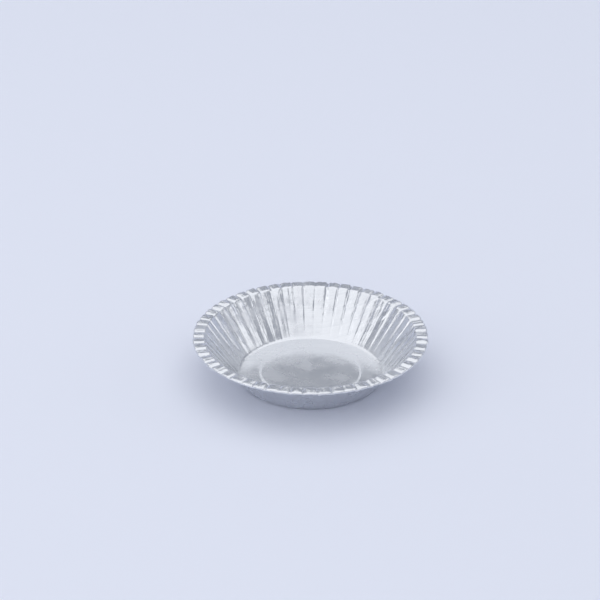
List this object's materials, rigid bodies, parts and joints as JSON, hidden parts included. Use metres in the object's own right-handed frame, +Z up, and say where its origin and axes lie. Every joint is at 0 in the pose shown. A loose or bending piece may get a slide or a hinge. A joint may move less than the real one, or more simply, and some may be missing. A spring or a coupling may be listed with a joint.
{
  "type": "foil pie tin",
  "caption": "Round pressed foil pie tin: sloping pleated wall, crimped flange, curled-under edge and flat foot round a raised centre panel.",
  "frame": {"origin": "on the tin's axis, in the plane of the foot that it stands on", "axes": "+Z up along the tin's axis, out of its mouth; +X through the crest of a crimp"},
  "size_m": [0.12, 0.12, 0.0226],
  "materials": {
    "aluminium_foil": "bright rolled foil, crinkled where it was gathered into pleats"
  },
  "bodies": {
    "root": {"pie_tin": "aluminium_foil"}
  },
  "joints": []
}
